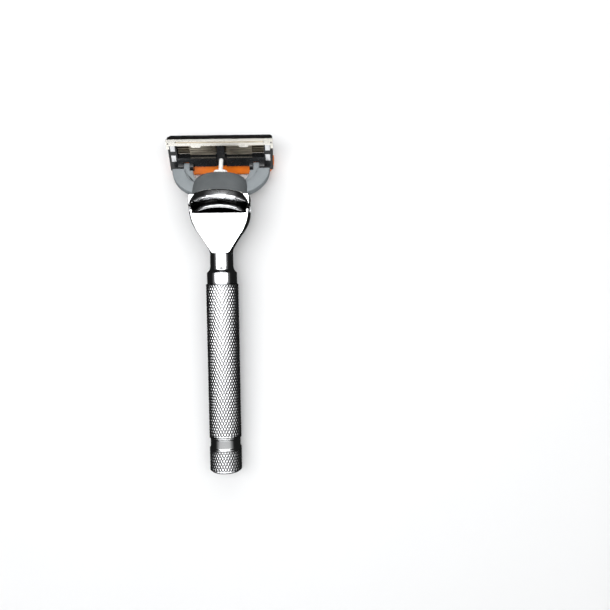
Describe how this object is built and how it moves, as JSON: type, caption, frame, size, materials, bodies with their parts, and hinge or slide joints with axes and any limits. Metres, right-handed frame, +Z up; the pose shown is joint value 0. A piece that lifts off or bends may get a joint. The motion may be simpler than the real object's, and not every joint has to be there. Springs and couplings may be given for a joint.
{
  "type": "cartridge razor",
  "caption": "Wet-shaving razor with a knurled metal handle, chromed head with release button, and a plug-on pivoting blade cartridge.",
  "frame": {"origin": "middle of the bounding box on the surface that the razor lies on, back up", "axes": "+Y along the handle from the pommel to the cartridge, +X across the cartridge, +Z up out of the razor's back"},
  "size_m": [0.042, 0.1342, 0.0215],
  "materials": {
    "polished_chrome": "mirror polished",
    "knurled_chrome": "diamond knurled, chromed",
    "spring_steel": "drawn wire and turned steel",
    "blade_steel": "ground and coated",
    "trimmer_steel": "bright rolled",
    "clip_aluminium": "satin",
    "white_plastic": "moulded",
    "dark_plastic": "moulded",
    "arm_grey": "satin moulded",
    "hub_grey": "fine matt overmould",
    "black_plastic": "moulded, semi-gloss",
    "orange_plastic": "satin moulded",
    "fin_rubber": "soft moulded",
    "strip_polymer": "waxy"
  },
  "bodies": {
    "handle": {"pommel": "knurled_chrome", "pommel_band": "polished_chrome", "grip": "knurled_chrome", "neck": "polished_chrome", "tie_rod": "spring_steel", "head_casting": "polished_chrome", "docking_nose": "dark_plastic", "plunger_guide": "white_plastic", "plunger_spring": "spring_steel", "button_spring": "spring_steel"},
    "release": {"release_button": "polished_chrome", "ejector_fork": "white_plastic"},
    "plunger": {"plunger": "white_plastic"},
    "yoke": {"yoke": "arm_grey", "hub_cover": "hub_grey"},
    "cartridge": {"housing": "black_plastic", "guard_carrier": "orange_plastic", "guard_fins": "fin_rubber", "blade_1": "blade_steel", "blade_2": "blade_steel", "blade_3": "blade_steel", "blade_4": "blade_steel", "blade_5": "blade_steel", "lubricating_strip": "strip_polymer", "clip_right": "clip_aluminium", "clip_left": "clip_aluminium", "trimmer_frame": "trimmer_steel", "trimmer_blade": "blade_steel"}
  },
  "joints": [
    {"name": "cartridge_dock", "type": "slide", "parent": "handle", "child": "yoke", "axis": [0, 0.8909, -0.4543], "range_m": [0, 0.014]},
    {"name": "cartridge_pivot", "type": "hinge", "parent": "yoke", "child": "cartridge", "pos_m": [0, 0.05579, 0.00566], "axis": [1, 0, 0], "range_deg": [0, 40], "stiffness_Nm_per_rad": 0.006, "springref_deg": -28.65},
    {"name": "plunger_slide", "type": "slide", "parent": "handle", "child": "plunger", "axis": [0, -0.8909, 0.4543], "range_m": [0, 0.002], "deforming": ["plunger_spring"]},
    {"name": "release_slide", "type": "slide", "parent": "handle", "child": "release", "axis": [0, 0.8909, -0.4543], "range_m": [0, 0.0022], "stiffness_N_per_m": 60, "springref_m": -0.004, "deforming": ["button_spring"]}
  ],
  "couplings": [
    {"joint": "plunger_slide", "follows": "cartridge_pivot", "m_per_rad": 0.00272}
  ]
}
